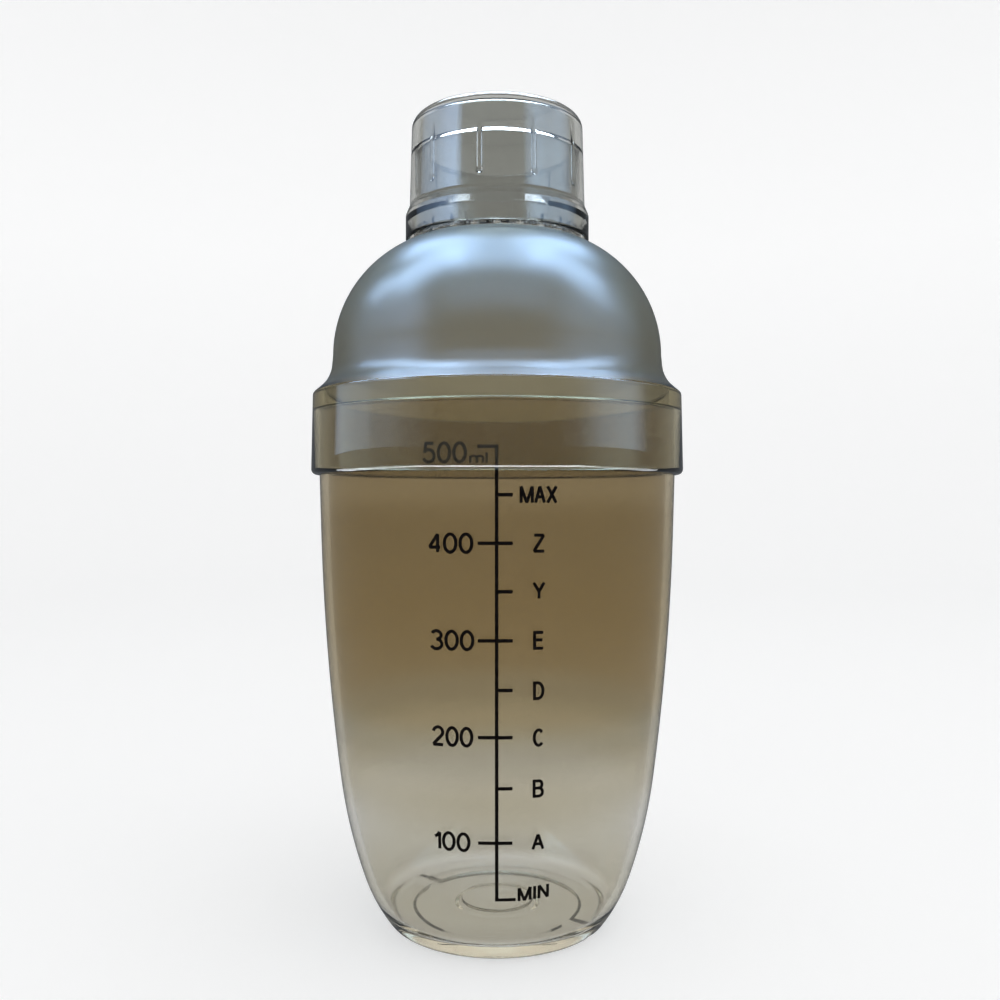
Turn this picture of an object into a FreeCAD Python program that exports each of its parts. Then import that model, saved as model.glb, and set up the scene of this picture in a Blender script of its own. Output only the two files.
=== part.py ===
import FreeCAD, Part
import math
import os

# A clear plastic cobbler-style shaker in three loose pieces: a tapered cup, a domed lid that drops over
# the cup's mouth, and a cap that presses on the lid's neck. The neck and strainer are one insert fixed
# in the top of the dome. A graduated line is printed on the front of the cup.
#
# Frame: millimetres, +Z up along the axis of the shaker, z = 0 on the table. The printed line is at -Y.
# Every outline below is drawn as (radius, height) and turned about the Z axis.

# Cup
FOOT_RADIUS = 24.9          # where the resting ring meets the rounded heel
FOOT_RING_INNER = 21.1
HEEL_ROUND = 2.9
HEEL_LEAN = 36.9            # slope of the wall from upright just above the heel, degrees
WALL_ARCS = [(39.4, 17.8), (122.4, 11.6), (583.0, 5.8)]   # (radius, degrees turned) going up the wall
WALL = 2.0
FLOOR_TOP = 4.2
FLOOR_ROUND = 3.0
DISC_RADIUS = 8.9           # low step on the floor, over the one in the hollow
DISC_HEIGHT = 0.5
RECESS_DEPTH = 1.2          # hollow under the foot
GATE_RADIUS = 9.5           # round step in the middle of the hollow
GATE_DEPTH = 2.2
GATE_SLOPE = 0.9
SEAT_RADIUS = 43.8          # upright band under the lid's skirt
SEAT_BOTTOM = 110.3
CUP_TOP = 124.7
RIM_ROUND = 0.7
DRAIN_NOTCHES = 2
DRAIN_ANGLE = 53.6          # of the first notch, degrees to the right of the front
DRAIN_RADIUS = 3.0
DRAIN_HEIGHT = 1.4

# Lid
FIT_GAP = 0.35              # radial play of the skirt around the cup
STOP_GAP = 0.2              # play between a seated piece and the rim it rests on
SKIRT_BOTTOM = 109.45
SKIRT_RADIUS_LOW = 45.85
SKIRT_RADIUS_TOP = 45.4
SHOULDER_Z = 129.1          # top of the upright skirt
COVE_Z = 132.8              # where the shoulder's slope runs up into the dome
COVE_REACH = 0.55           # how far that place stands out from the dome's widest point
LEDGE_RADIUS = 42.6         # inner edge of the ledge that stops on the cup's rim
DOME_CENTRE_R = 10.35       # the dome's section is one arc about this point
DOME_CENTRE_Z = 138.6
DOME_RADIUS = 30.2
LID_WALL = 2.0
LAND_RADIUS = 21.2          # flat ring on top of the dome
BORE_RADIUS = 17.2          # hole through the dome that holds the strainer insert
BORE_DEPTH = 3.0

# Strainer insert
PLUG_RADIUS = 17.1
PLUG_INNER = 15.6
FLANGE_RADIUS = 20.9
PLATE = 1.7
CROWN_HEIGHT = 1.7
CROWN_NOTCHES = 14
CROWN_NOTCH_WIDTH = 3.7
NECK_RADIUS = 19.5
NECK_INNER = 17.9
NECK_TOP = 188.95
HOLE_RADIUS = 1.3
HOLE_RINGS = [(0.0, 1), (4.6, 6), (9.2, 12), (13.6, 18)]   # (radius of the ring, number of holes)

# Cap
CAP_BOTTOM = 167.5
CAP_TOP = 198.0
CAP_RIM_RADIUS = 22.8
CAP_RIM_INNER = 21.9
CAP_FLARE_LOW = 173.6       # the rim narrows to the cap's side between these heights
CAP_FLARE_TOP = 176.0
CAP_INNER_FLARE_LOW = 171.5
CAP_INNER_FLARE_TOP = 175.2
CAP_RADIUS_LOW = 21.8
CAP_RADIUS_TOP = 21.2
CAP_ROUND = 2.8
CAP_INNER = 20.25
CAP_INNER_UPPER = 19.25
CAP_PLATE = 2.0
RIBS = 10
RIB_FIRST_ANGLE = -11.5     # degrees to the right of the front
RIB_WIDTH = 1.0
RIB_BOTTOM = 179.5
RIB_REACH = 0.45            # how far a rib stands in from the cap's wall
RIB_END_RADIUS = 0.8

# Printed line
INK = 0.1
LINE_WIDTH = 0.75
TICK_LEFT = 3.95            # how far the cross lines reach from the middle of the spine
TICK_RIGHT = 3.35
TICK_LOWEST = 4.1
SCALE_LOW = 16.4
SCALE_TOP = 114.8
BOTH_SIDES = [30.1, 53.3, 73.9, 94.3]          # heights of the 100, 200, 300 and 400 ml lines
RIGHT_SIDE = [42.2, 63.4, 84.2, 104.4]         # heights of the lines in between


def front_point(angle, radius, height):
    """Point at this many degrees to the right of the front."""
    turn = math.radians(angle)
    return FreeCAD.Vector(radius * math.sin(turn), -radius * math.cos(turn), height)


def tangent_arcs(start, heading, runs):
    """Arc steps that follow on smoothly: start, heading in degrees from +X, then (radius, turn) pairs."""
    steps = []
    x, z = start
    for radius, turn in runs:
        centre_x = x - radius * math.sin(math.radians(heading))
        centre_z = z + radius * math.cos(math.radians(heading))
        angles = [math.radians(heading + turn * part - 90) for part in (0.5, 1.0)]
        points = [(centre_x + radius * math.cos(a), centre_z + radius * math.sin(a)) for a in angles]
        steps.append(("arc", points[0], points[1]))
        x, z = points[1]
        heading += turn
    return steps


def vector(point):
    return FreeCAD.Vector(point[0], 0, point[1])


def round_corner(before, corner, after, radius):
    """Start, middle and end of the arc that rounds a corner between two straight runs."""
    here = vector(corner)
    back = (vector(before) - here).normalize()
    ahead = (vector(after) - here).normalize()
    half = back.getAngle(ahead) / 2
    bisector = (back + ahead).normalize()
    start = here + back * (radius / math.tan(half))
    end = here + ahead * (radius / math.tan(half))
    middle = here + bisector * (radius / math.sin(half) - radius)
    return start, middle, end


def turned(path):
    """Solid turned about Z from an outline of (r, z), (r, z, rounding) and ("arc", middle, end) steps."""
    ends = [step[2] if step[0] == "arc" else step[:2] for step in path]
    bends = []
    for index, step in enumerate(path):
        if step[0] == "arc":
            bends.append((None, vector(step[1]), vector(step[2])))
        elif len(step) == 3:
            after = ends[(index + 1) % len(path)]
            bends.append(round_corner(ends[index - 1], step, after, step[2]))
        else:
            bends.append((vector(step), None, vector(step)))
    edges = []
    pen = bends[-1][2]
    for start, middle, end in bends:
        if start is not None and (start - pen).Length > 1e-6:
            edges.append(Part.makeLine(pen, start))
        if middle is not None:
            edges.append(Part.Arc(pen if start is None else start, middle, end).toShape())
        pen = end
    face = Part.Face(Part.Wire(edges))
    return face.revolve(FreeCAD.Vector(0, 0, 0), FreeCAD.Vector(0, 0, 1), 360)


def one_solid(shape):
    """The single solid in a boolean's result."""
    if len(shape.Solids) != 1 or not shape.isValid():
        raise ValueError("expected one valid solid")
    return shape.Solids[0]


def wall_steps(inset):
    """The cup's side above the heel, moved in by an inset: its first point and its arcs."""
    lean = math.radians(HEEL_LEAN)
    heel_x = FOOT_RADIUS + HEEL_ROUND * math.cos(lean)
    heel_z = HEEL_ROUND - HEEL_ROUND * math.sin(lean)
    start = (heel_x - inset * math.cos(lean), heel_z + inset * math.sin(lean))
    runs = [(radius - inset, turn) for radius, turn in WALL_ARCS]
    return start, tangent_arcs(start, 90 - HEEL_LEAN, runs)


def cup_outside(extra=0.0):
    """Filled outside of the cup, or one grown by a skin."""
    start, side = wall_steps(-extra)
    heel = tangent_arcs((FOOT_RADIUS, -extra), 0, [(HEEL_ROUND + extra, 90 - HEEL_LEAN)])
    seat = SEAT_RADIUS + extra
    path = [(0, -extra), (FOOT_RADIUS, -extra)] + heel + side
    path += [(seat, SEAT_BOTTOM), (seat, CUP_TOP), (0, CUP_TOP)]
    return turned(path)


def cup_cavity():
    start, side = wall_steps(WALL)
    inner = SEAT_RADIUS - WALL
    above = CUP_TOP + 5
    hollow = turned([(0, start[1]), start] + side + [(inner, SEAT_BOTTOM), (inner, above), (0, above)])
    floor = Part.makeCylinder(FOOT_RADIUS * 2, FLOOR_TOP)
    hollow = one_solid(hollow.cut(floor))
    corner = [edge for edge in hollow.Edges if abs(edge.BoundBox.ZMax - FLOOR_TOP) < 1e-3]
    return hollow.makeFillet(FLOOR_ROUND, corner)


def foot_hollow():
    below = -1.0
    return turned([
        (0, below),
        (FOOT_RING_INNER, below),
        (FOOT_RING_INNER, 0),
        (FOOT_RING_INNER - RECESS_DEPTH / 2, RECESS_DEPTH, 0.4),
        (GATE_RADIUS + GATE_SLOPE, RECESS_DEPTH, 0.3),
        (GATE_RADIUS, GATE_DEPTH, 0.3),
        (0, GATE_DEPTH),
    ])


def floor_disc():
    below = FLOOR_TOP - DISC_HEIGHT
    top = FLOOR_TOP + DISC_HEIGHT
    return turned([(0, below), (DISC_RADIUS, below), (DISC_RADIUS, top, 0.2), (0, top)])


def drain_notch(angle):
    """Arched channel across the resting ring."""
    start = front_point(angle, FOOT_RING_INNER - 2, DRAIN_HEIGHT - DRAIN_RADIUS)
    along = front_point(angle, 1, 0)
    return Part.makeCylinder(DRAIN_RADIUS, HEEL_ROUND * 3 + 2, start, along)


def cup():
    body = cup_outside().cut(cup_cavity()).cut(foot_hollow()).fuse(floor_disc())
    for number in range(DRAIN_NOTCHES):
        body = body.cut(drain_notch(DRAIN_ANGLE + number * 360 / DRAIN_NOTCHES))
    body = one_solid(body)
    rim = [edge for edge in body.Edges if edge.BoundBox.ZMin > CUP_TOP - 1e-3]
    return body.makeFillet(RIM_ROUND, rim)


def dome_point(radius, at_r):
    """Point of a dome arc of this radius at distance at_r from the axis."""
    rise = math.sqrt(radius ** 2 - (at_r - DOME_CENTRE_R) ** 2)
    return (at_r, DOME_CENTRE_Z + rise)


def dome_arc(radius, end):
    """Arc step along the dome between its widest point and the given end, in either direction."""
    turn = math.atan2(end[1] - DOME_CENTRE_Z, end[0] - DOME_CENTRE_R) / 2
    return (DOME_CENTRE_R + radius * math.cos(turn), DOME_CENTRE_Z + radius * math.sin(turn))


def lid():
    inner_radius = DOME_RADIUS - LID_WALL
    outer_side = DOME_CENTRE_R + DOME_RADIUS
    inner_side = DOME_CENTRE_R + inner_radius
    skirt_inner = SEAT_RADIUS + FIT_GAP
    ledge = CUP_TOP + STOP_GAP
    land = dome_point(DOME_RADIUS, LAND_RADIUS)
    collar_bottom = land[1] - BORE_DEPTH
    collar = dome_point(inner_radius, BORE_RADIUS + LID_WALL)
    return turned([
        (skirt_inner, SKIRT_BOTTOM, 0.3),
        (SKIRT_RADIUS_LOW, SKIRT_BOTTOM, 1.35),
        (SKIRT_RADIUS_TOP, SHOULDER_Z, 1.0),
        (outer_side + COVE_REACH, COVE_Z, 8.0),
        (outer_side, DOME_CENTRE_Z),
        ("arc", dome_arc(DOME_RADIUS, land), land),
        (BORE_RADIUS, land[1], 0.3),
        (BORE_RADIUS, collar_bottom),
        (collar[0], collar_bottom, 0.5),
        collar,
        ("arc", dome_arc(inner_radius, collar), (inner_side, DOME_CENTRE_Z)),
        (inner_side + COVE_REACH, COVE_Z - 0.6, 8.0),
        (LEDGE_RADIUS, SHOULDER_Z + 0.4, 0.8),
        (LEDGE_RADIUS, ledge, 0.2),
        (skirt_inner, ledge, 0.3),
    ])


def strainer():
    """Neck with a strainer plate across its foot, a notched crown and a plug that fills the dome's bore."""
    seat = dome_point(DOME_RADIUS, LAND_RADIUS)[1]
    plate_top = seat + PLATE
    crown_top = plate_top + CROWN_HEIGHT
    body = turned([
        (0, seat),
        (PLUG_INNER, seat, 0.4),
        (PLUG_INNER, seat - BORE_DEPTH, 0.3),
        (PLUG_RADIUS, seat - BORE_DEPTH, 0.5),
        (PLUG_RADIUS, seat),
        (FLANGE_RADIUS, seat, 0.3),
        (FLANGE_RADIUS, crown_top, 0.3),
        (NECK_RADIUS, crown_top),
        (NECK_RADIUS, NECK_TOP, 0.5),
        (NECK_INNER, NECK_TOP, 0.5),
        (NECK_INNER, plate_top, 0.8),
        (0, plate_top),
    ])
    for number in range(CROWN_NOTCHES):
        body = body.cut(crown_notch(number * 360 / CROWN_NOTCHES, plate_top))
    for ring, count in HOLE_RINGS:
        for number in range(count):
            hole_at = front_point(number * 360 / count, ring, seat - 1)
            body = body.cut(Part.makeCylinder(HOLE_RADIUS, PLATE + 2, hole_at))
    return one_solid(body)


def crown_notch(angle, bottom):
    """Slot through the crown, outside the neck."""
    depth = FLANGE_RADIUS - NECK_RADIUS + 1
    slot = Part.makeBox(depth, CROWN_NOTCH_WIDTH, CROWN_HEIGHT + 1)
    slot.translate(FreeCAD.Vector(NECK_RADIUS, -CROWN_NOTCH_WIDTH / 2, bottom))
    slot.rotate(FreeCAD.Vector(0, 0, 0), FreeCAD.Vector(0, 0, 1), angle - 90)
    return slot.cut(Part.makeCylinder(NECK_RADIUS, CROWN_HEIGHT + 2, FreeCAD.Vector(0, 0, bottom)))


def cap_step(radius):
    """Point of the cap's inner step, a 45 degree cone that stops on the rim of the neck."""
    return (radius, NECK_TOP + STOP_GAP + NECK_RADIUS - radius)


def cap_rib(angle):
    """Rib inside the cap that steadies it on the neck, with a rounded lower end."""
    inner_face = CAP_INNER - RIB_REACH
    top = cap_step(inner_face)[1] + 0.8
    rib = Part.makeBox(RIB_WIDTH, RIB_REACH + 0.5, top - RIB_BOTTOM)
    rib.translate(FreeCAD.Vector(-RIB_WIDTH / 2, -inner_face - RIB_REACH - 0.5, RIB_BOTTOM))
    rib.rotate(FreeCAD.Vector(0, 0, 0), FreeCAD.Vector(0, 0, 1), angle)
    end_centre = front_point(angle, inner_face + RIB_END_RADIUS - 0.05, RIB_BOTTOM)
    return rib.fuse(Part.makeSphere(RIB_END_RADIUS, end_centre))


def cap():
    body = turned([
        (0, CAP_TOP),
        (0, CAP_TOP - CAP_PLATE),
        (CAP_INNER_UPPER, CAP_TOP - CAP_PLATE, 1.0),
        cap_step(CAP_INNER_UPPER),
        cap_step(CAP_INNER),
        (CAP_INNER, CAP_INNER_FLARE_TOP, 1.5),
        (CAP_RIM_INNER, CAP_INNER_FLARE_LOW, 1.0),
        (CAP_RIM_INNER, CAP_BOTTOM, 0.3),
        (CAP_RIM_RADIUS, CAP_BOTTOM, 0.6),
        (CAP_RIM_RADIUS, CAP_FLARE_LOW, 1.2),
        (CAP_RADIUS_LOW, CAP_FLARE_TOP, 1.5),
        (CAP_RADIUS_TOP, CAP_TOP, CAP_ROUND),
    ])
    for number in range(RIBS):
        body = body.fuse(cap_rib(RIB_FIRST_ANGLE + number * 360 / RIBS))
    return one_solid(body)


def printed_bar(left, right, middle_z):
    """Block that stands for one printed bar, to be cut from the ink skin."""
    bar = Part.makeBox(right - left, SEAT_RADIUS + 5, LINE_WIDTH)
    bar.translate(FreeCAD.Vector(left, -SEAT_RADIUS - 5, middle_z - LINE_WIDTH / 2))
    return bar


def scale_line():
    """Spine and cross lines of the printed scale, as a thin skin on the front of the cup."""
    half = LINE_WIDTH / 2
    height = SCALE_TOP - SCALE_LOW
    bars = Part.makeBox(LINE_WIDTH, SEAT_RADIUS + 5, height)
    bars.translate(FreeCAD.Vector(-half, -SEAT_RADIUS - 5, SCALE_LOW))
    spans = [(-TICK_LEFT, half, SCALE_TOP - half), (-half, TICK_LOWEST, SCALE_LOW + half)]
    spans += [(-TICK_LEFT, TICK_RIGHT, middle_z) for middle_z in BOTH_SIDES]
    spans += [(-half, TICK_RIGHT, middle_z) for middle_z in RIGHT_SIDE]
    for left, right, middle_z in spans:
        bars = bars.fuse(printed_bar(left, right, middle_z))
    skin = cup_outside(INK).cut(cup_outside())
    return one_solid(skin.common(bars).removeSplitter())


def main():
    os.makedirs("parts", exist_ok=True)
    makers = {"cup": cup, "lid": lid, "strainer": strainer, "cap": cap, "scale_line": scale_line}
    for name, make in makers.items():
        make().exportStep("parts/" + name + ".step")


main()
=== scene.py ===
import math

import bmesh
import bpy
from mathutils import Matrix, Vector


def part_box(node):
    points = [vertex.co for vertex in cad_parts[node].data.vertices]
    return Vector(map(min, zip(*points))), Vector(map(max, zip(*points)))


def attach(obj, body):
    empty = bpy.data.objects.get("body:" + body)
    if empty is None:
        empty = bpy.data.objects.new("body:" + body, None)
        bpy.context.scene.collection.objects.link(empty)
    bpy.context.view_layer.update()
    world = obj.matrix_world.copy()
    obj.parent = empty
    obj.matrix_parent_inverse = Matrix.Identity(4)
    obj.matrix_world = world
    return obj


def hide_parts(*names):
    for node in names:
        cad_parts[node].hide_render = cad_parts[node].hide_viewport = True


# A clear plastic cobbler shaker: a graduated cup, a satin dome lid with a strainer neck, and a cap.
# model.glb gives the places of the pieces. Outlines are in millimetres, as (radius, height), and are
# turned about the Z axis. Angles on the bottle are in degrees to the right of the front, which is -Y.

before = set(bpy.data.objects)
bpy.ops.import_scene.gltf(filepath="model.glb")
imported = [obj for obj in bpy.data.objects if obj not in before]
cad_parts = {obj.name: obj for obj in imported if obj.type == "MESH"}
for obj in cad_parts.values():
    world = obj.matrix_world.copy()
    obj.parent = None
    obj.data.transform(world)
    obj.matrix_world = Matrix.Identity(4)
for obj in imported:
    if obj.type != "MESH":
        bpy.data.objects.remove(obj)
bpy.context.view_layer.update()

MM = 0.001


def node_size(node):
    """Lowest height, highest height and largest radius of a CAD node, in millimetres."""
    low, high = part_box(node)
    return low.z / MM, high.z / MM, high.x / MM


_, CUP_TOP, SEAT_RADIUS = node_size("cup")
SKIRT_BOTTOM, LAND_Z, SKIRT_RADIUS_LOW = node_size("lid")
PLUG_BOTTOM, NECK_TOP, FLANGE_RADIUS = node_size("strainer")
CAP_BOTTOM, CAP_TOP, CAP_RIM_RADIUS = node_size("cap")

# Cup
FOOT_RADIUS = 24.9
FOOT_RING_INNER = 21.1
HEEL_ROUND = 2.9
HEEL_LEAN = 36.9
WALL_ARCS = [(39.4, 17.8), (122.4, 11.6), (583.0, 5.8)]        # radius, and degrees turned
WALL_STEP = 1.2
WALL = 2.0
FLOOR_TOP = 4.2
FLOOR_ROUND = 2.0
FLOOR_ROUND_RISE = 1.5
FLOOR_ROUND_LEAN = 34.9
DISC_RADIUS = 8.9
DISC_HEIGHT = 0.5
RECESS_DEPTH = 1.2
GATE_RADIUS = 9.5
GATE_DEPTH = 2.2
GATE_SLOPE = 0.9
SEAT_BOTTOM = 110.3
DRAIN_ANGLES = [53.6, 233.6]
DRAIN_RADIUS = 3.0
DRAIN_HEIGHT = 1.4

# Lid
SKIRT_INNER = SEAT_RADIUS + 0.35
SKIRT_RADIUS_TOP = 45.4
SHOULDER_Z = 129.1
COVE_Z = 132.8
COVE_REACH = 0.55
LEDGE_Z = CUP_TOP + 0.2
LEDGE_RADIUS = 42.6
DOME_CENTRE = (10.35, 138.6)
DOME_RADIUS = 30.2
LID_WALL = 2.0
BORE_RADIUS = 17.25
INSERT_GAP = 0.06           # hair of air that keeps the clear insert's faces off the dome's

# Cap
CAP_RIM_INNER = 21.9
CAP_FLARE_LOW = 173.6
CAP_FLARE_TOP = 176.0
CAP_INNER_FLARE_LOW = 171.5
CAP_INNER_FLARE_TOP = 175.2
CAP_RADIUS_LOW = 21.8
CAP_RADIUS_TOP = 21.2
CAP_ROUND = 2.8
CAP_INNER = 20.25
CAP_INNER_UPPER = 19.25
CAP_PLATE = 2.0
NECK_RADIUS = 19.5
CAP_STEP_TOP = NECK_TOP + 0.2 + NECK_RADIUS - CAP_INNER_UPPER
CAP_STEP_LOW = NECK_TOP + 0.2 + NECK_RADIUS - CAP_INNER
RIBS = 10
RIB_FIRST_ANGLE = -11.5
RIB_WIDTH = 1.0
RIB_SOFTNESS = 0.1          # half the width of each side's slope
RIB_BOTTOM = 179.5
RIB_REACH = 0.45
RIB_END_REACH = 0.55
RIB_END_RADIUS = 0.8

# Print
INK_LIFT = 0.03
INK_THICKNESS = 0.05
INK_PITCH = 1.0             # spacing of the cuts that let flat print bend
LINE_WIDTH = 0.75
SCALE_LOW = 16.4
SCALE_TOP = 114.8
TICK_LEFT = 3.95
TICK_RIGHT = 3.35
TICK_MIN = 4.1
BOTH_SIDES = [30.1, 53.3, 73.9, 94.3]           # heights of the marks that cross the line
RIGHT_SIDE = [42.2, 63.4, 84.2, 104.4]          # heights of the marks on its right only

# Stage
STAGE_RADIUS = 1800.0
STAGE_Z = -0.05
STAGE_THICKNESS = 20.0
STAGE_GLOW = 0.5
WINDOW_DISTANCE = 0.69      # metres from the bottle's axis to each window


# ---------------------------------------------------------------- outlines

def arc(centre, radius, start, end, step=0.6):
    """Points along an arc between two angles in degrees."""
    count = max(4, round(abs(math.radians(end - start)) * radius / step))
    turns = [math.radians(start + (end - start) * k / count) for k in range(count + 1)]
    return [(centre[0] + radius * math.cos(t), centre[1] + radius * math.sin(t)) for t in turns]


def straight(start, end, step):
    """Evenly spaced points between two ends."""
    count = max(1, round(math.dist(start, end) / step))
    return [tuple(a + (b - a) * k / count for a, b in zip(start, end)) for k in range(count + 1)]


def tangent_arcs(start, heading, runs, step):
    """Points of arcs that follow on smoothly: heading in degrees, then (radius, degrees turned)."""
    points = [start]
    for radius, turn in runs:
        x, z = points[-1]
        centre = (x - radius * math.sin(math.radians(heading)), z + radius * math.cos(math.radians(heading)))
        points += arc(centre, radius, heading - 90, heading - 90 + turn, step)[1:]
        heading += turn
    return points


def round_corner(before, corner, after, radius):
    """Points that round a corner between two straight runs."""
    here = Vector(corner)
    back = (Vector(before) - here).normalized()
    ahead = (Vector(after) - here).normalized()
    half = back.angle(ahead) / 2
    centre = here + (back + ahead).normalized() * (radius / math.sin(half))
    first = here + back * (radius / math.tan(half)) - centre
    last = here + ahead * (radius / math.tan(half)) - centre
    swing = first.angle_signed(last)
    count = 8
    points = []
    for k in range(count + 1):
        turn = -swing * k / count
        x = first.x * math.cos(turn) - first.y * math.sin(turn)
        z = first.x * math.sin(turn) + first.y * math.cos(turn)
        points.append((centre.x + x, centre.y + z))
    return points


def outline(path):
    """Points of an outline given as (r, z) corners, (r, z, rounding) corners and lists of points."""
    firsts = [step[0] if isinstance(step, list) else step[:2] for step in path]
    lasts = [step[-1] if isinstance(step, list) else step[:2] for step in path]
    points = []
    for index, step in enumerate(path):
        if isinstance(step, list):
            points += step
        elif len(step) == 3:
            after = firsts[(index + 1) % len(path)]
            points += round_corner(lasts[index - 1], step[:2], after, step[2])
        else:
            points.append(step)
    return points


# ---------------------------------------------------------------- meshes

def make_object(name, bm, materials):
    """Smooth-shaded object from a bmesh, with edges over 40 degrees kept sharp."""
    mesh = bpy.data.meshes.new(name)
    bm.to_mesh(mesh)
    bm.free()
    mesh.polygons.foreach_set("use_smooth", [True] * len(mesh.polygons))
    mesh.set_sharp_from_angle(angle=math.radians(40))
    for material in materials:
        mesh.materials.append(material)
    piece = bpy.data.objects.new(name, mesh)
    bpy.context.scene.collection.objects.link(piece)
    return piece


def lathe(points, count, shape=None):
    """Closed bmesh turned about Z. shape may move a point, given its (r, z) and its turn in radians."""
    bm = bmesh.new()
    rings = []
    for r, z in points:
        turns = [0.0] if r < 1e-6 else [2 * math.pi * k / count for k in range(count)]
        ring = []
        for turn in turns:
            rr, zz = shape(r, z, turn) if shape else (r, z)
            ring.append(bm.verts.new((rr * math.sin(turn) * MM, -rr * math.cos(turn) * MM, zz * MM)))
        rings.append(ring)
    for one, other in zip(rings, rings[1:] + rings[:1]):
        if len(one) == 1 and len(other) == 1:
            continue
        for k in range(count):
            corners = [one[k % len(one)], one[(k + 1) % len(one)]]
            corners += [other[(k + 1) % len(other)], other[k % len(other)]]
            bm.faces.new(list(dict.fromkeys(corners)))
    bmesh.ops.recalc_face_normals(bm, faces=bm.faces)
    return bm


def wall_points(inset):
    """Side of the cup above the heel, moved in by an inset."""
    lean = math.radians(HEEL_LEAN)
    heel_x = FOOT_RADIUS + HEEL_ROUND * math.cos(lean)
    heel_z = HEEL_ROUND - HEEL_ROUND * math.sin(lean)
    start = (heel_x - inset * math.cos(lean), heel_z + inset * math.sin(lean))
    runs = [(radius - inset, turn) for radius, turn in WALL_ARCS]
    return tangent_arcs(start, 90 - HEEL_LEAN, runs, WALL_STEP)


def drained(r, z, turn):
    """Lifts the resting ring over the two arched drain notches, whose roofs are level with the hollow."""
    roof = RECESS_DEPTH - 0.02
    if r < FOOT_RING_INNER - RECESS_DEPTH or z > roof:
        return r, z
    for angle in DRAIN_ANGLES:
        off = turn - math.radians(angle)
        across = r * math.sin(off)
        if abs(across) < DRAIN_RADIUS and math.cos(off) > 0:
            arch = DRAIN_HEIGHT - DRAIN_RADIUS + math.sqrt(DRAIN_RADIUS ** 2 - across ** 2)
            return r, max(z, min(arch, roof))
    return r, z


def cup_mesh():
    """Cup with a hollow and drain notches under its foot, and a low disc on its floor."""
    heel = tangent_arcs((FOOT_RADIUS, 0), 0, [(HEEL_ROUND, 90 - HEEL_LEAN)], 0.3)
    inside = [p for p in reversed(wall_points(WALL)) if p[1] > FLOOR_TOP + FLOOR_ROUND_RISE]
    low = inside[-1]
    slope = math.tan(math.radians(FLOOR_ROUND_LEAN))
    floor_corner = (low[0] - (low[1] - FLOOR_TOP) * slope, FLOOR_TOP, FLOOR_ROUND)
    inner = SEAT_RADIUS - WALL
    path = [
        (0, GATE_DEPTH),
        (GATE_RADIUS, GATE_DEPTH, 0.3),
        (GATE_RADIUS + GATE_SLOPE, RECESS_DEPTH, 0.3),
        (FOOT_RING_INNER - RECESS_DEPTH / 2, RECESS_DEPTH, 0.4),
        (FOOT_RING_INNER, 0, 0.15),
        heel,
        wall_points(0)[1:],
        (SEAT_RADIUS, SEAT_BOTTOM),
        (SEAT_RADIUS, CUP_TOP, 0.7),
        (inner, CUP_TOP, 0.7),
        (inner, SEAT_BOTTOM),
        inside,
        floor_corner,
        (DISC_RADIUS, FLOOR_TOP, 0.15),
        (DISC_RADIUS, FLOOR_TOP + DISC_HEIGHT, 0.2),
        (0, FLOOR_TOP + DISC_HEIGHT),
    ]
    return lathe(outline(path), 384, drained)


def dome_angle(radius, at_r):
    """Angle above the horizontal, in degrees, where an arc of the dome passes a radius on the bottle."""
    return math.degrees(math.acos((at_r - DOME_CENTRE[0]) / radius))


def lid_mesh():
    """Lid with a skirt, a ledge that rests on the cup's rim, a dome and a bore for the clear insert."""
    land = LAND_Z - INSERT_GAP
    outer_side = DOME_CENTRE[0] + DOME_RADIUS
    inner_radius = DOME_RADIUS - LID_WALL
    inner_side = DOME_CENTRE[0] + inner_radius
    land_angle = math.degrees(math.asin((land - DOME_CENTRE[1]) / DOME_RADIUS))
    collar_r = BORE_RADIUS + LID_WALL
    collar_angle = dome_angle(inner_radius, collar_r)
    path = [
        (SKIRT_INNER, SKIRT_BOTTOM, 0.3),
        (SKIRT_RADIUS_LOW, SKIRT_BOTTOM, 1.35),
        (SKIRT_RADIUS_TOP, SHOULDER_Z, 1.0),
        (outer_side + COVE_REACH, COVE_Z, 8.0),
        arc(DOME_CENTRE, DOME_RADIUS, 0, land_angle),
        (BORE_RADIUS, land, 0.3),
        (BORE_RADIUS, PLUG_BOTTOM),
        (collar_r, PLUG_BOTTOM, 0.5),
        arc(DOME_CENTRE, inner_radius, collar_angle, 0),
        (inner_side + COVE_REACH, COVE_Z - 0.6, 8.0),
        (LEDGE_RADIUS, SHOULDER_Z + 0.4, 0.8),
        (LEDGE_RADIUS, LEDGE_Z, 0.2),
        (SKIRT_INNER, LEDGE_Z, 0.3),
    ]
    return lathe(outline(path), 384)


def satin_at(r, z):
    """How satin the lid is at a point: 0 on the clear skirt, 0.5 on the dome's outside, 1 on its inside."""
    if z < SHOULDER_Z + 0.05 or r > SKIRT_RADIUS_TOP - 0.2:
        return 0.0
    reach = math.hypot(r - DOME_CENTRE[0], max(0.0, z - DOME_CENTRE[1]))
    return 1.0 if reach < DOME_RADIUS - LID_WALL / 2 else 0.5


def ribbed(r, z, turn):
    """Raises the ten short ribs with rounded lower ends out of the cap's inner wall."""
    if abs(r - CAP_INNER) > 1e-3 or z < RIB_BOTTOM - RIB_END_RADIUS:
        return r, z
    pitch = 2 * math.pi / RIBS
    off = (turn - math.radians(RIB_FIRST_ANGLE) + pitch / 2) % pitch - pitch / 2
    across = abs(off) * CAP_INNER
    edge = min(1.0, max(0.0, (RIB_WIDTH / 2 + RIB_SOFTNESS - across) / (2 * RIB_SOFTNESS)))
    rib = RIB_REACH * edge if z > RIB_BOTTOM else 0.0
    away = math.hypot(across, z - RIB_BOTTOM) / RIB_END_RADIUS
    blob = RIB_END_REACH * math.sqrt(max(0.0, 1 - away ** 2))
    return r - max(rib, blob), z


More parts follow.
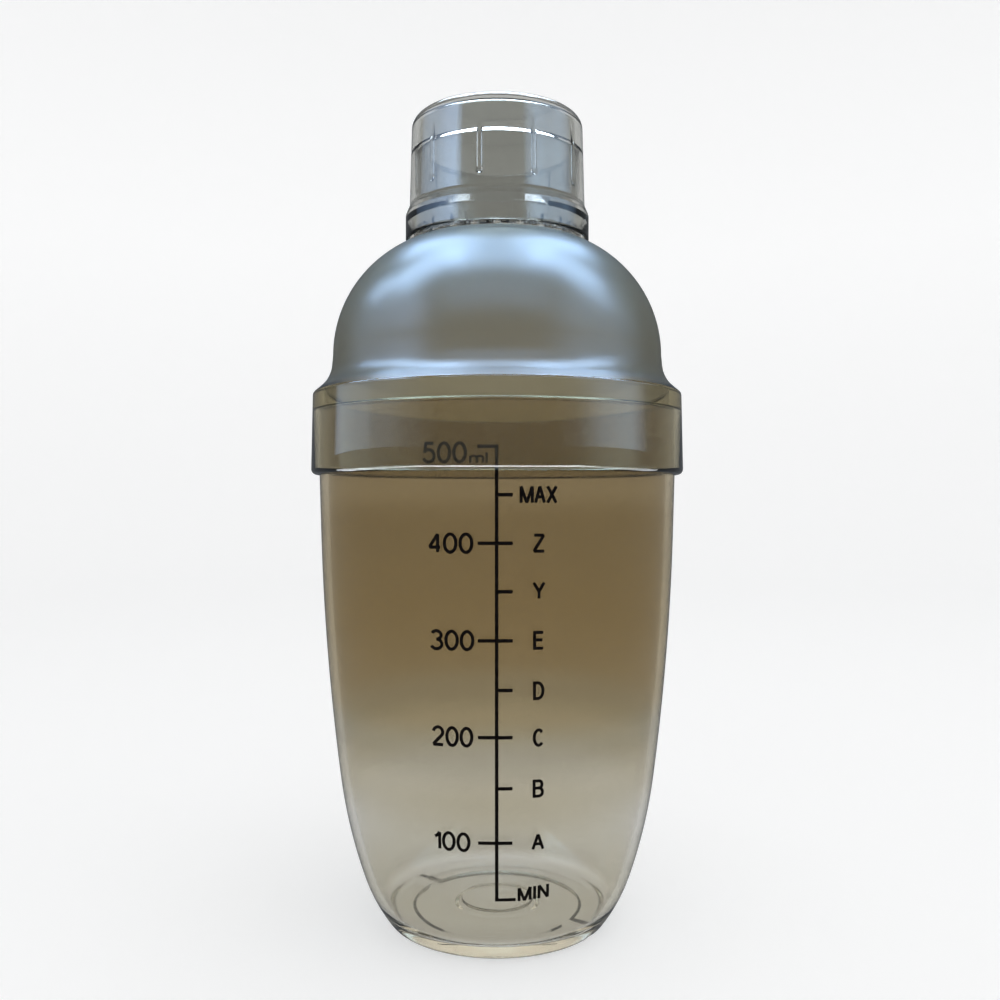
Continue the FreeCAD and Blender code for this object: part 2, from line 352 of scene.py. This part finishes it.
def cap_mesh():
    """Cap with a flared rim, an inner step and short ribs inside."""
    path = [
        (0, CAP_TOP - CAP_PLATE),
        (CAP_INNER_UPPER, CAP_TOP - CAP_PLATE, 1.0),
        (CAP_INNER_UPPER, CAP_STEP_TOP),
        (CAP_INNER, CAP_STEP_LOW),
        straight((CAP_INNER, CAP_STEP_LOW - 0.1), (CAP_INNER, RIB_BOTTOM - 1.2), 0.3),
        (CAP_INNER, CAP_INNER_FLARE_TOP, 1.5),
        (CAP_RIM_INNER, CAP_INNER_FLARE_LOW, 1.0),
        (CAP_RIM_INNER, CAP_BOTTOM, 0.3),
        (CAP_RIM_RADIUS, CAP_BOTTOM, 0.6),
        (CAP_RIM_RADIUS, CAP_FLARE_LOW, 1.2),
        (CAP_RADIUS_LOW, CAP_FLARE_TOP, 1.5),
        (CAP_RADIUS_TOP, CAP_TOP, CAP_ROUND),
        (0, CAP_TOP),
    ]
    return lathe(outline(path), 720, ribbed)


# ---------------------------------------------------------------- print

WALL_LINE = outline([wall_points(0), (SEAT_RADIUS, SEAT_BOTTOM), (SEAT_RADIUS, CUP_TOP)])


def cup_radius(z):
    """Outside radius of the cup at a height."""
    for (r0, z0), (r1, z1) in zip(WALL_LINE, WALL_LINE[1:]):
        if z0 <= z <= z1:
            return r0 + (r1 - r0) * (z - z0) / (z1 - z0)
    return SEAT_RADIUS


def wrap(bm):
    """Bends flat print onto the cup: x runs round the cup, y is the height, z the thickness."""
    for vert in bm.verts:
        across, height, depth = vert.co
        radius = cup_radius(height)
        turn = across / radius
        radius += INK_LIFT + depth
        vert.co = (radius * math.sin(turn) * MM, -radius * math.cos(turn) * MM, height * MM)
    bmesh.ops.recalc_face_normals(bm, faces=bm.faces)


def slice_up(bm):
    """Cuts flat print along a grid, so that it can bend."""
    xs = [v.co.x for v in bm.verts]
    ys = [v.co.y for v in bm.verts]
    for axis, values in ((Vector((1, 0, 0)), xs), (Vector((0, 1, 0)), ys)):
        low, high = min(values), max(values)
        count = int((high - low) / INK_PITCH)
        for k in range(1, count + 1):
            place = axis * (low + (high - low) * k / (count + 1))
            geometry = bm.verts[:] + bm.edges[:] + bm.faces[:]
            bmesh.ops.bisect_plane(bm, geom=geometry, dist=1e-5, plane_co=place, plane_no=axis)


def add_bar(bm, left, right, low, high):
    """Flat box between two sides and two heights."""
    corner = bmesh.ops.create_cube(bm, size=1.0)["verts"]
    for vert in corner:
        vert.co.x = left if vert.co.x < 0 else right
        vert.co.y = low if vert.co.y < 0 else high
        vert.co.z = 0.0 if vert.co.z < 0 else INK_THICKNESS


def bow(centre_x, centre_y, wide, tall, start, end):
    """Points along an ellipse's arc, in parts of a letter's box, between two angles in degrees."""
    count = max(4, round(abs(end - start) / 12))
    turns = [math.radians(start + (end - start) * k / count) for k in range(count + 1)]
    return [(centre_x + wide * math.cos(t), centre_y + tall * math.sin(t)) for t in turns]


# Strokes of each letter, in parts of its box: 0 to 1 across and up.
STROKES = {
    "0": [bow(0.5, 0.5, 0.5, 0.5, 90, 450)],
    "1": [[(0, 0.72), (0.55, 0.82), (1, 1), (1, 0)]],
    "2": [bow(0.49, 0.72, 0.46, 0.28, 172, -38) + [(0, 0), (1, 0)]],
    "3": [bow(0.49, 0.765, 0.43, 0.235, 155, -90), bow(0.49, 0.265, 0.5, 0.265, 90, -158)],
    "4": [[(0.76, 0), (0.76, 1), (0, 0.27), (1, 0.27)]],
    "5": [[(0.92, 1), (0.24, 1), (0.12, 0.5)] + bow(0.49, 0.33, 0.5, 0.33, 125, -158)],
    "A": [[(0, 0), (0.5, 1), (1, 0)], [(0.17, 0.36), (0.83, 0.36)]],
    "B": [
        [(0, 0.53), (0, 1)] + bow(0.6, 0.765, 0.33, 0.235, 90, -90) + [(0, 0.53)],
        [(0, 0.53)] + bow(0.6, 0.265, 0.4, 0.265, 90, -90) + [(0, 0), (0, 0.53)],
    ],
    "C": [bow(0.52, 0.5, 0.52, 0.5, 42, 318)],
    "D": [[(0, 0), (0, 1)] + bow(0.4, 0.5, 0.6, 0.5, 90, -90) + [(0, 0)]],
    "E": [[(1, 1), (0, 1), (0, 0), (1, 0)], [(0, 0.53), (0.93, 0.53)]],
    "I": [[(0.5, 0), (0.5, 1)]],
    "M": [[(0, 0), (0, 1), (0.5, 0), (1, 1), (1, 0)]],
    "N": [[(0, 0), (0, 1), (1, 0), (1, 1)]],
    "X": [[(0, 0), (1, 1)], [(0, 1), (1, 0)]],
    "Y": [[(0, 1), (0.5, 0.44), (1, 1)], [(0.5, 0.44), (0.5, 0)]],
    "Z": [[(0.04, 1), (0.96, 1), (0, 0), (1, 0)]],
    "l": [[(0.5, 0), (0.5, 1)]],
    "m": [
        [(0, 0), (0, 0.68)],
        [(0, 0)] + bow(0.26, 0.42, 0.26, 0.26, 180, 0) + [(0.52, 0)],
        [(0.52, 0)] + bow(0.76, 0.42, 0.24, 0.26, 180, 0) + [(1, 0)],
    ],
}
LETTER_WIDTHS = {"1": 0.45, "M": 1.25, "m": 1.5, "I": 0.3, "l": 0.12}      # next to a digit's width
LETTER_GAP = 0.36


def side_points(points, half, closed):
    """Points on both sides of a pen's path, with mitred corners that are cut short where they are sharp."""
    pairs = []
    for index, point in enumerate(points):
        here = Vector(point)
        before = Vector(points[index - 1]) if index or closed else None
        after = Vector(points[(index + 1) % len(points)]) if closed or index + 1 < len(points) else None
        back = (here - before).normalized() if before is not None else (after - here).normalized()
        ahead = (after - here).normalized() if after is not None else back
        across = Vector((-back.y - ahead.y, back.x + ahead.x)).normalized()
        reach = half / max(0.6, across.dot(Vector((-back.y, back.x))))
        pairs.append((here + across * reach, here - across * reach))
    return pairs


def straight_runs(points):
    """Parts of a pen's path between its sharp corners."""
    runs = [[points[0]]]
    for before, here, after in zip(points, points[1:], points[2:]):
        runs[-1].append(here)
        if (Vector(here) - Vector(before)).angle(Vector(after) - Vector(here)) > math.radians(100):
            runs.append([here])
    runs[-1].append(points[-1])
    return runs


def add_stroke(bm, points, half):
    """Flat solid ribbon along a pen's path."""
    closed = math.dist(points[0], points[-1]) < 1e-6
    if closed:
        points = points[:-1]
    rings = []
    for left, right in side_points(points, half, closed):
        corners = ((left, 0.0), (right, 0.0), (right, INK_THICKNESS), (left, INK_THICKNESS))
        rings.append([bm.verts.new((place.x, place.y, depth)) for place, depth in corners])
    followers = rings[1:] + rings[:1] if closed else rings[1:]
    for one, other in zip(rings, followers):
        for k in range(4):
            bm.faces.new((one[k], one[(k + 1) % 4], other[(k + 1) % 4], other[k]))
    if not closed:
        bm.faces.new(rings[0])
        bm.faces.new(rings[-1])


def add_text(bm, words, left, right, low, high, pen, rise=0.0):
    """Letters drawn with a round pen's width in a flat box, with an optional rise from left to right."""
    half = pen / 2
    widths = [LETTER_WIDTHS.get(letter, 1.0) for letter in words]
    unit = (right - left - pen) / (sum(widths) + LETTER_GAP * (len(words) - 1))
    start = left + half
    for letter, width in zip(words, widths):
        for stroke in STROKES[letter]:
            path = []
            for x, y in stroke:
                across = start + x * width * unit
                lift = rise * (across - left) / (right - left)
                path.append((across, low + half + y * (high - low - pen) + lift))
            for run in straight_runs(path):
                add_stroke(bm, run, half)
        start += (width + LETTER_GAP) * unit


NUMBER_HEIGHT = 4.5
LETTER_HEIGHT = 4.0
LETTER_CENTRE = 8.9
LETTER_WIDTH = 2.5
WIDE_LETTER_WIDTH = 2.9
NUMBER_PEN = 0.70
LETTER_PEN = 0.66
SMALL_PEN = 0.5
NUMBER_SPANS = {"400": (-14.75, -4.82), "300": (-14.4, -4.64), "200": (-14.1, -4.9), "100": (-13.9, -5.6)}
LETTER_HEIGHTS = {"A": 30.1, "B": 42.0, "C": 53.1, "D": 63.2, "E": 73.9, "Y": 84.4, "Z": 94.3}


def draw_scale(bm):
    """The scale's upright line and its cross marks."""
    half = LINE_WIDTH / 2
    add_bar(bm, -half, half, SCALE_LOW, SCALE_TOP)
    add_bar(bm, -TICK_LEFT, -half, SCALE_TOP - LINE_WIDTH, SCALE_TOP)
    add_bar(bm, half, TICK_MIN, SCALE_LOW, SCALE_LOW + LINE_WIDTH)
    for height in BOTH_SIDES:
        add_bar(bm, -TICK_LEFT, -half, height - half, height + half)
    for height in BOTH_SIDES + RIGHT_SIDE:
        add_bar(bm, half, TICK_RIGHT, height - half, height + half)


def draw_numbers(bm):
    """The numbers to the left of the line."""
    for (words, (left, right)), height in zip(NUMBER_SPANS.items(), reversed(BOTH_SIDES)):
        add_text(bm, words, left, right, height - NUMBER_HEIGHT / 2, height + NUMBER_HEIGHT / 2, NUMBER_PEN)
    add_text(bm, "500", -15.8, -6.06, 110.9, 115.5, NUMBER_PEN)
    add_text(bm, "ml", -5.65, -1.7, 110.8, 113.4, SMALL_PEN)


def draw_letters(bm):
    """The letters and words to the right of the line."""
    for words, height in LETTER_HEIGHTS.items():
        width = WIDE_LETTER_WIDTH if words in "AYZ" else LETTER_WIDTH
        low = height - LETTER_HEIGHT / 2
        right = LETTER_CENTRE + width / 2
        add_text(bm, words, LETTER_CENTRE - width / 2, right, low, low + LETTER_HEIGHT, LETTER_PEN)
    add_text(bm, "MAX", 4.75, 12.95, 102.4, 106.5, LETTER_PEN)
    add_text(bm, "MIN", 4.5, 11.55, 16.0, 19.8, LETTER_PEN, rise=0.5)


# ---------------------------------------------------------------- materials

class Shader:
    """A material's node tree, built up a node at a time."""

    def __init__(self, name):
        self.material = bpy.data.materials.new(name)
        self.material.use_nodes = True
        self.tree = self.material.node_tree
        self.surface = self.tree.nodes["Principled BSDF"]
        self.place = self.add("ShaderNodeTexCoord").outputs["Object"]

    def add(self, kind, **settings):
        node = self.tree.nodes.new(kind)
        for key, value in settings.items():
            setattr(node, key, value)
        return node

    def link(self, source, target):
        self.tree.links.new(source, target)

    def set(self, **values):
        """Sets the shader's own sockets: IOR=1.57 or Base_Color=(r, g, b, 1)."""
        for key, value in values.items():
            self.surface.inputs[key.replace("_", " ")].default_value = value

    def noise(self, scale, detail, stretch=(1, 1, 1)):
        """Noise over the object, with features about 1 / scale metres across."""
        mapping = self.add("ShaderNodeMapping")
        mapping.inputs["Scale"].default_value = stretch
        self.link(self.place, mapping.inputs["Vector"])
        node = self.add("ShaderNodeTexNoise")
        node.inputs["Scale"].default_value = scale
        node.inputs["Detail"].default_value = detail
        self.link(mapping.outputs["Vector"], node.inputs["Vector"])
        return node.outputs["Fac"]

    def spread(self, value, low, high, start=0.35, stop=0.65):
        """Maps a value from start..stop to low..high."""
        node = self.add("ShaderNodeMapRange")
        node.inputs["From Min"].default_value = start
        node.inputs["From Max"].default_value = stop
        node.inputs["To Min"].default_value = low
        node.inputs["To Max"].default_value = high
        self.link(value, node.inputs["Value"])
        return node.outputs["Result"]

    def height(self):
        """Height on the bottle, in metres."""
        node = self.add("ShaderNodeSeparateXYZ")
        self.link(self.place, node.inputs["Vector"])
        return node.outputs["Z"]

    def ramp(self, value, stops):
        """Colour ramp from (place, (r, g, b)) stops."""
        node = self.add("ShaderNodeValToRGB")
        node.color_ramp.interpolation = "EASE"
        elements = node.color_ramp.elements
        while len(elements) < len(stops):
            elements.new(0.5)
        for element, (position, colour) in zip(elements, stops):
            element.position = position
            element.color = (*colour, 1)
        self.link(value, node.inputs["Fac"])
        return node.outputs["Color"]

    def absorb(self, colour, density):
        """Absorbs light along the way through the plastic."""
        node = self.add("ShaderNodeVolumeAbsorption")
        node.inputs["Color"].default_value = (*colour, 1)
        node.inputs["Density"].default_value = density
        self.link(node.outputs["Volume"], self.tree.nodes["Material Output"].inputs["Volume"])

    def bump(self, value):
        """Raises the surface by a value, up to BUMP_HEIGHT."""
        node = self.add("ShaderNodeBump")
        node.inputs["Distance"].default_value = BUMP_HEIGHT
        self.link(value, node.inputs["Height"])
        self.link(node.outputs["Normal"], self.surface.inputs["Normal"])


PLASTIC_IOR = 1.55
CLEAR_ROUGHNESS = (0.02, 0.06)
BUMP_HEIGHT = 0.00001       # metres


def clear_plastic(name, stops, absorption=None):
    """Clear moulded plastic, with the room seen through it painted into its colour: stops give that painted
    colour by height in metres.
    """
    shader = Shader(name)
    shader.set(IOR=PLASTIC_IOR, Transmission_Weight=1.0)
    low, high = stops[0][0], stops[-1][0]
    place = shader.spread(shader.height(), 0, 1, low, high)
    scaled = [((height - low) / (high - low), colour) for height, colour in stops]
    # Base colour: the room seen through the plastic, painted on by height.
    shader.link(shader.ramp(place, scaled), shader.surface.inputs["Base Color"])
    smudge = shader.noise(90, 4.0)
    shader.link(shader.spread(smudge, *CLEAR_ROUGHNESS), shader.surface.inputs["Roughness"])
    shader.bump(shader.noise(60, 1.0, (1, 1, 0.35)))
    # The absorption deepens the painted room colour where the plastic is thick.
    if absorption:
        shader.absorb(*absorption)
    return shader.material


def lid_plastic():
    """Moulded plastic that is clear on the skirt and satin on the dome, by the mesh's satin attribute."""
    shader = Shader("lid_plastic")
    shader.set(IOR=PLASTIC_IOR, Transmission_Weight=1.0)
    satin = shader.add("ShaderNodeAttribute", attribute_name="satin").outputs["Fac"]
    # Base colour: the room seen through the skirt and the dome, painted on.
    painted_room = shader.ramp(satin, [(0.0, SKIRT_PAINTED_ROOM), (0.5, DOME_PAINTED_ROOM), (1.0, DOME_PAINTED_ROOM)])
    shader.link(painted_room, shader.surface.inputs["Base Color"])
    smudge = shader.noise(90, 2.0)
    rough = shader.spread(satin, SKIRT_ROUGHNESS, INNER_SATIN, 0.0, 1.0)
    uneven = shader.add("ShaderNodeMath", operation="MULTIPLY")
    shader.link(rough, uneven.inputs[0])
    shader.link(shader.spread(smudge, 0.97, 1.03), uneven.inputs[1])
    shader.link(uneven.outputs[0], shader.surface.inputs["Roughness"])
    # The absorption deepens that painted room colour where the lid is thick, darkening its edges.
    shader.absorb(*LID_PAINTED_ROOM_ABSORPTION)
    return shader.material


def printed_ink():
    """Screen-printed black ink, slightly uneven."""
    shader = Shader("printed_ink")
    shader.set(Specular_IOR_Level=0.05)
    mottle = shader.noise(1800, 4.0)
    tone = shader.ramp(shader.spread(mottle, 0, 1), [(0.0, INK_DARK), (1.0, INK_PALE)])
    shader.link(tone, shader.surface.inputs["Base Color"])
    shader.link(shader.spread(mottle, 0.38, 0.6), shader.surface.inputs["Roughness"])
    shader.bump(mottle)
    return shader.material


# ---------------------------------------------------------------- pieces

# Painted colours of the room seen through the clear plastic, by height in metres: paler near the foot, a
# darker band just above it, and brown higher up. Absorption is a colour, and a density per metre, that
# deepens that painted colour where the plastic is thick.
CUP_PAINTED_ROOM = [
    (0.0, (0.875, 0.855, 0.81)),
    (0.0048, (0.875, 0.855, 0.81)),
    (0.0066, (0.64, 0.615, 0.54)),
    (0.011, (0.695, 0.67, 0.585)),
    (0.028, (0.73, 0.72, 0.68)),
    (0.040, (0.63, 0.595, 0.50)),
    (0.050, (0.497, 0.465, 0.38)),
    (0.058, (0.468, 0.402, 0.278)),
    (0.063, (0.460, 0.390, 0.264)),
    (0.075, (0.440, 0.366, 0.234)),
    (0.098, (0.422, 0.353, 0.230)),
    (0.1065, (0.468, 0.402, 0.280)),
    (0.126, (0.47, 0.392, 0.270)),
]
# Absorption that deepens the cup's painted room colour where its wall is thick.
CUP_PAINTED_ROOM_ABSORPTION = ((0.8, 0.72, 0.5), 18)
# Painted colours of the room seen through the clear cap and the clear insert, and an absorption that darkens
# the insert's painted colour where it is thick.
CAP_PAINTED_ROOM = [(0.165, (0.52, 0.525, 0.5)), (0.2, (0.52, 0.525, 0.5))]
INSERT_PAINTED_ROOM = [(0.165, (0.845, 0.84, 0.82)), (0.2, (0.845, 0.84, 0.82))]
INSERT_PAINTED_ROOM_ABSORPTION = ((0.5, 0.5, 0.48), 40)
# Painted colours of the room seen through the lid's skirt and dome, and an absorption that deepens them
# where the lid is thick.
SKIRT_PAINTED_ROOM = (0.724, 0.697, 0.611)
DOME_PAINTED_ROOM = (0.61, 0.59, 0.55)
LID_PAINTED_ROOM_ABSORPTION = ((0.62, 0.58, 0.42), 350)
SKIRT_ROUGHNESS = 0.015
INNER_SATIN = 0.6           # roughness inside the dome, about twice that outside it
INK_DARK = (0.002, 0.0015, 0.001)
INK_PALE = (0.008, 0.006, 0.005)


def build_cup():
    """The clear cup."""
    piece = make_object("cup_shell", cup_mesh(), [clear_plastic("cup_clear", CUP_PAINTED_ROOM, CUP_PAINTED_ROOM_ABSORPTION)])
    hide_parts("cup")
    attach(piece, "cup")


def build_lid():
    """The lid, with the attribute that says where it is satin."""
    piece = make_object("dome_lid", lid_mesh(), [lid_plastic()])
    satin = piece.data.attributes.new("satin", "FLOAT", "POINT")
    for vert, value in zip(piece.data.vertices, satin.data):
        value.value = satin_at(math.hypot(vert.co.x, vert.co.y) / MM, vert.co.z / MM)
    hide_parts("lid")
    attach(piece, "lid")


def build_cap():
    """The small clear cap."""
    piece = make_object("press_cap", cap_mesh(), [clear_plastic("cap_clear", CAP_PAINTED_ROOM)])
    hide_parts("cap")
    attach(piece, "cap")


def dress_strainer():
    """Gives the CAD's own strainer its clear plastic."""
    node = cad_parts["strainer"]
    node.data.materials.clear()
    node.data.materials.append(clear_plastic("insert_clear", INSERT_PAINTED_ROOM, INSERT_PAINTED_ROOM_ABSORPTION))


def build_print():
    """The printed scale, its numbers and its letters, drawn flat and bent onto the cup."""
    ink = printed_ink()
    drawings = {"scale_print": draw_scale, "number_print": draw_numbers, "letter_print": draw_letters}
    for name, draw in drawings.items():
        bm = bmesh.new()
        draw(bm)
        slice_up(bm)
        wrap(bm)
        piece = make_object(name, bm, [ink])
        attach(piece, "cup")
        if name == "scale_print":
            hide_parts("scale_line")


# ---------------------------------------------------------------- stage, light and camera

def build_stage():
    """Round pale floor that curves up into a wall all round, and glows a little so that it is even."""
    shader = Shader("stage_paper")
    shader.set(Base_Color=(0.6, 0.6, 0.6, 1), Roughness=0.9)
    shader.set(Emission_Color=(1, 1, 1, 1), Emission_Strength=STAGE_GLOW)
    path = [
        (0, STAGE_Z),
        (STAGE_RADIUS, STAGE_Z, STAGE_RADIUS / 3),
        (STAGE_RADIUS, STAGE_RADIUS),
        (STAGE_RADIUS + STAGE_THICKNESS, STAGE_RADIUS),
        (STAGE_RADIUS + STAGE_THICKNESS, STAGE_Z - STAGE_THICKNESS),
        (0, STAGE_Z - STAGE_THICKNESS),
    ]
    floor = make_object("stage_floor", lathe(outline(path), 128), [shader.material])
    floor.visible_glossy = False
    return floor


def area_light(name, place, target, size, power, colour, lit):
    """Area light that shines on the things a collection says."""
    data = bpy.data.lights.new(name, "AREA")
    data.shape = "RECTANGLE"
    data.size, data.size_y = size
    data.energy = power
    data.color = colour
    lamp = bpy.data.objects.new(name, data)
    lamp.location = place
    lamp.rotation_euler = (Vector(target) - Vector(place)).to_track_quat("-Z", "Y").to_euler()
    lamp.visible_camera = False
    lamp.light_linking.receiver_collection = lit
    bpy.context.scene.collection.objects.link(lamp)
    return lamp


def window(name, angles, heights, radiance, stops, colour, lit):
    """Upright light between two angles round the bottle, its brightness graded by (angle, part) stops."""
    middle = math.radians(sum(angles) / 2)
    half = math.tan(math.radians(angles[1] - angles[0]) / 2)
    size = (2 * WINDOW_DISTANCE * half, heights[1] - heights[0])
    height = sum(heights) / 2
    place = (WINDOW_DISTANCE * math.sin(middle), -WINDOW_DISTANCE * math.cos(middle), height)
    power = radiance * math.pi * size[0] * size[1]
    lamp = area_light(name, place, (0, 0, height), size, power, colour, lit)
    lamp.data.use_nodes = True
    tree = lamp.data.node_tree
    across = tree.nodes.new("ShaderNodeSeparateXYZ")
    ramp = tree.nodes.new("ShaderNodeValToRGB")
    while len(ramp.color_ramp.elements) < len(stops):
        ramp.color_ramp.elements.new(0.5)
    for element, (angle, part) in zip(ramp.color_ramp.elements, stops):
        element.position = 0.5 + math.tan(math.radians(angle) - middle) / (2 * half)
        element.color = (part, part, part, 1)
    tree.links.new(tree.nodes.new("ShaderNodeNewGeometry").outputs["Parametric"], across.inputs["Vector"])
    tree.links.new(across.outputs["X"], ramp.inputs["Fac"])
    tree.links.new(ramp.outputs["Color"], tree.nodes["Emission"].inputs["Color"])


def light_group(name, pieces, state):
    """Collection for lights that shine only on some pieces (INCLUDE) or on all but them (EXCLUDE)."""
    group = bpy.data.collections.new(name)
    for piece in pieces:
        group.objects.link(piece)
    for member in group.collection_objects:
        member.light_linking.link_state = state
    return group


# Lamps: name, place in metres, size in metres, and watts.
SKY = (0.42, 0.65, 1.0)
LID_LAMPS = [
    ("back_left", (-0.18, 0.20, 0.72), (0.2, 0.4), 2.6),
    ("back_right", (0.18, 0.20, 0.72), (0.2, 0.4), 2.6),
    ("top_middle", (0.0, -0.10, 0.76), (0.5, 0.26), 4.0),
    ("top_left", (-0.36, -0.02, 0.72), (0.26, 0.44), 5.4),
    ("top_right", (0.36, -0.02, 0.72), (0.26, 0.44), 5.2),
    ("top_front", (0.0, -0.50, 0.62), (0.8, 0.3), 2.0),
]
SIDE_LAMPS = [
    ("side_left", (-0.55, 0.15, 0.56), (0.16, 0.16), 0.7),
    ("side_right", (0.58, -0.05, 0.54), (0.16, 0.16), 0.5),
]
TABLE_STRIPS = [
    ("table_front", (0.0, -0.162, 0.002), (0.42, 0.10), 1.8),
    ("table_left", (-0.162, 0.0, 0.002), (0.10, 0.22), 0.36),
    ("table_right", (0.162, 0.0, 0.002), (0.10, 0.22), 0.24),
]

# Windows: name, the angles and the heights in metres that they span, radiance, stops and colour.
WINDOW_LOW = (0.135, 0.30)
WINDOW_HIGH = (0.30, 0.74)
HAZE = (0.56, 0.74, 1.0)
LEFT_LOW = [(-112, 0), (-108, 1), (-82, 1), (-76, 0.65), (-64, 0.56), (-54, 0.3), (-42, 0.1), (-34, 0)]
RIGHT_LOW = [(34, 0), (46, 0.12), (54, 0.4), (63, 0.8), (74, 1), (84, 1), (92, 0.5), (98, 0.1), (104, 0)]
LEFT_HIGH = [(-116, 0.1), (-98, 0.34), (-87, 0.45), (-77, 0.66), (-68, 0.87), (-56, 1), (-52, 0.6), (-46, 0)]
RIGHT_HIGH = [(34, 0), (44, 0.6), (52, 1), (62, 0.85), (74, 0.7), (92, 0.67), (102, 0.4), (112, 0.1)]
LOW_WINDOWS = [
    ("left_low", (-114, -32), WINDOW_LOW, 1.6, LEFT_LOW, HAZE),
    ("right_low", (32, 106), WINDOW_LOW, 2.15, RIGHT_LOW, HAZE),
]
HIGH_WINDOWS = [
    ("left_high", (-118, -44), WINDOW_HIGH, 4.6, LEFT_HIGH, (0.43, 0.64, 1.0)),
    ("right_high", (32, 114), WINDOW_HIGH, 3.0, RIGHT_HIGH, (0.45, 0.68, 1.0)),
]


def build_world():
    """Dim, slightly blue surroundings."""
    world = bpy.data.worlds.new("studio")
    world.use_nodes = True
    world.node_tree.nodes["Background"].inputs["Color"].default_value = (0.85, 0.92, 1.0, 1)
    world.node_tree.nodes["Background"].inputs["Strength"].default_value = 0.15
    bpy.context.scene.world = world


def build_light(floor):
    """Lamps and windows, each of which shines only on the pieces that it is for."""
    dome = bpy.data.objects["dome_lid"]
    cap = [bpy.data.objects["press_cap"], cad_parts["strainer"]]
    bottle = light_group("all_but_stage", [floor], "EXCLUDE")
    stage = light_group("stage_only", [floor], "INCLUDE")
    lid_only = light_group("lid_only", [dome], "INCLUDE")
    cap_only = light_group("cap_only", cap, "INCLUDE")
    past_cap = light_group("past_cap", cap, "EXCLUDE")
    top = (0, 0, 0.15)
    for name, place, size, power in LID_LAMPS:
        lamp = area_light(name, place, top, size, power, SKY, lid_only)
        lamp.light_linking.blocker_collection = past_cap
    area_light("cap_top", (0.0, 0.215, 0.74), top, (0.5, 0.4), 7.5, (0.7, 0.84, 1), cap_only)
    for name, (x, y, z), size, power in TABLE_STRIPS:
        strip = area_light(name, (x, y, z), (x, y, 1), size, power, (0.9, 0.95, 1), lid_only)
        strip.visible_transmission = False
    for name, place, size, power in SIDE_LAMPS:
        area_light(name, place, top, size, power, SKY, lid_only)
    area_light("key", (0.2, -0.3, 1.3), (0, 0, 0), (1.2, 1.2), 6.0, (1, 1, 1), stage)
    for name, angles, heights, radiance, stops, colour in LOW_WINDOWS:
        window(name, angles, heights, radiance, stops, colour, lid_only)
    for name, angles, heights, radiance, stops, colour in HIGH_WINDOWS:
        window(name, angles, heights, radiance, stops, colour, bottle)


def build_camera():
    """Level camera near the front, at just over half the bottle's height."""
    data = bpy.data.cameras.new("camera")
    data.lens = 36.6
    data.sensor_width = 36.0
    data.clip_start = 0.01
    camera = bpy.data.objects.new("camera", data)
    camera.location = (0.0007, -0.2545, 0.1033)
    camera.rotation_euler = (math.radians(90), 0, 0)
    bpy.context.scene.collection.objects.link(camera)
    bpy.context.scene.camera = camera


build_cup()
build_lid()
build_cap()
dress_strainer()
build_print()
build_world()
build_light(build_stage())
build_camera()
bpy.context.scene.view_settings.view_transform = "Standard"
